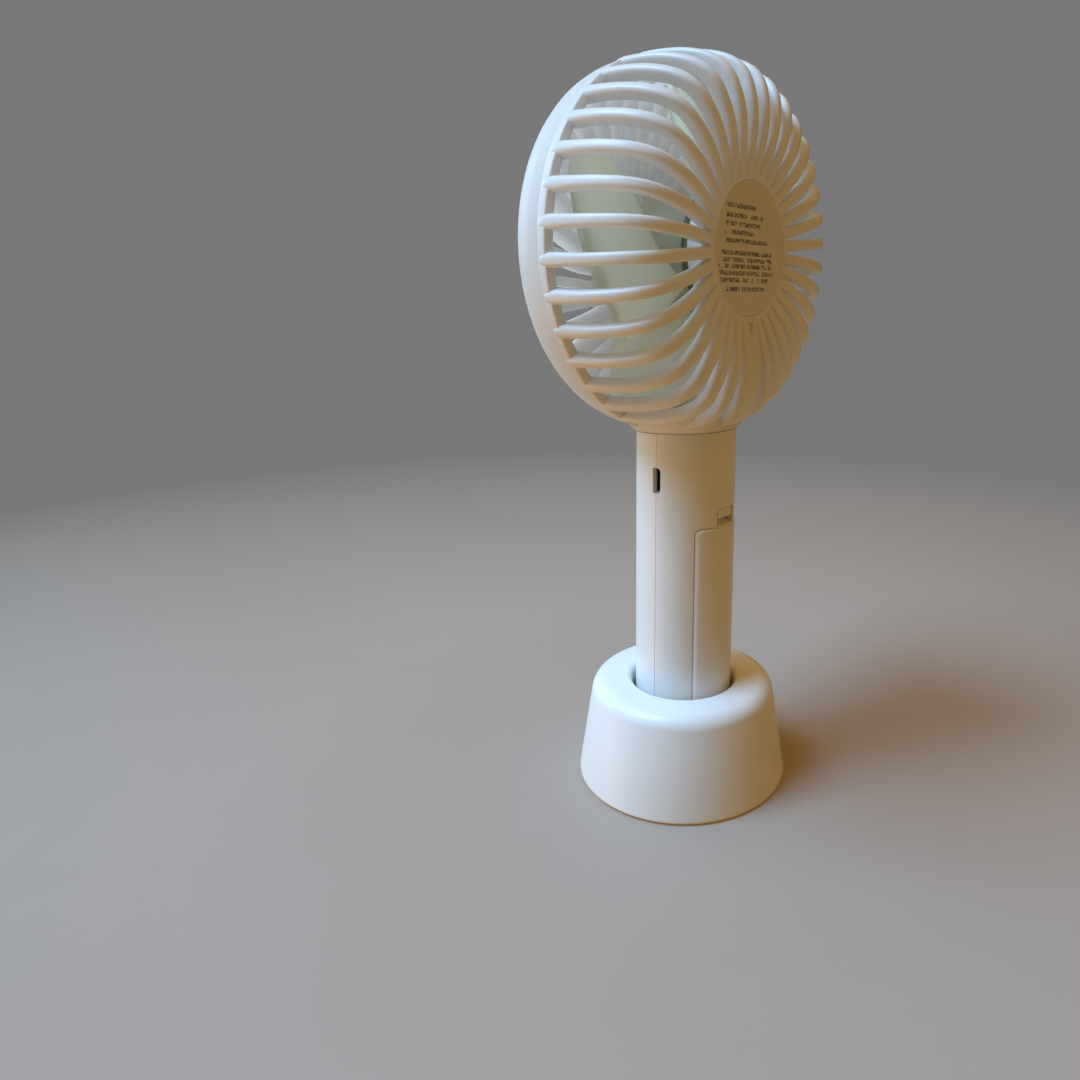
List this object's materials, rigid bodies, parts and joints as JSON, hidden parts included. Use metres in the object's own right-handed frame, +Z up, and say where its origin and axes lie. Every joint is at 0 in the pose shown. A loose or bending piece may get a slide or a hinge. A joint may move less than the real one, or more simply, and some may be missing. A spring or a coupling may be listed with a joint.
{
  "type": "handheld electric fan",
  "caption": "Rechargeable handheld fan with a round ribbed head, guarded rotor, cylindrical battery handle and a round standing base.",
  "frame": {"origin": "centre of the base's underside, on the handle's axis", "axes": "+Z up along the handle, +Y the way the rear guard and battery cover face (the fan blows towards -Y), +X towards the charging socket"},
  "size_m": [0.0978, 0.0618, 0.2007],
  "materials": {
    "white_plastic": "fine matt",
    "foam": "anti-slip foam",
    "steel": "bright",
    "cell_wrap": "shrink sleeve",
    "plated": "nickel plated",
    "circuit_green": "solder mask",
    "black_plastic": "moulded",
    "magnet": "ferrite",
    "lamp": "clear",
    "wire_red": "insulated wire",
    "wire_black": "insulated wire",
    "blade_plastic": "translucent, polished",
    "copper": "enamelled copper",
    "label": "printed",
    "bronze": "sintered bronze"
  },
  "bodies": {
    "base": {"base_shell": "white_plastic", "base_plate": "white_plastic", "base_pad": "foam", "base_screw_1": "steel", "base_screw_2": "steel", "base_screw_3": "steel"},
    "fan": {"handle_front_shell": "white_plastic", "handle_rear_shell": "white_plastic", "battery_cell": "cell_wrap", "contact_negative": "plated", "contact_spring": "plated", "contact_positive": "plated", "circuit_board": "circuit_green", "usb_socket": "steel", "usb_tongue": "black_plastic", "tact_switch": "black_plastic", "charge_chip": "black_plastic", "inductor": "magnet", "status_lamp": "lamp", "light_pipe": "lamp", "board_screw_1": "steel", "board_screw_2": "steel", "battery_lead_positive": "wire_red", "battery_lead_negative": "wire_black", "rear_guard": "white_plastic", "rating_label": "label", "motor_can": "steel", "motor_end_cap": "black_plastic", "magnet_left": "magnet", "magnet_right": "magnet", "bush_front": "bronze", "bush_rear": "bronze", "motor_screw_1": "steel", "motor_screw_2": "steel", "motor_lead_red": "wire_red", "motor_lead_black": "wire_black", "front_guard": "white_plastic", "front_cap": "label"},
    "rotor": {"fan_blades": "blade_plastic", "motor_shaft": "steel", "armature_core": "steel", "winding_1": "copper", "winding_2": "copper", "winding_3": "copper", "commutator": "copper"},
    "button": {"power_button": "white_plastic"},
    "cover": {"battery_cover": "white_plastic"}
  },
  "joints": [
    {"name": "undock_lift", "type": "slide", "parent": "base", "child": "fan", "axis": [0, 0, 1], "range_m": [0, 0.06]},
    {"name": "rotor_spin", "type": "hinge", "parent": "fan", "child": "rotor", "pos_m": [0, 0, 0.1518], "axis": [0, 1, 0], "continuous": true},
    {"name": "power_button_press", "type": "slide", "parent": "fan", "child": "button", "axis": [0, 1, 0], "range_m": [0, 0.0005], "stiffness_N_per_m": 200, "springref_m": -0.0005},
    {"name": "battery_cover_swing", "type": "hinge", "parent": "fan", "child": "cover", "pos_m": [0, 0.014, 0.0283], "axis": [-1, 0, 0], "range_deg": [0, 55]}
  ]
}
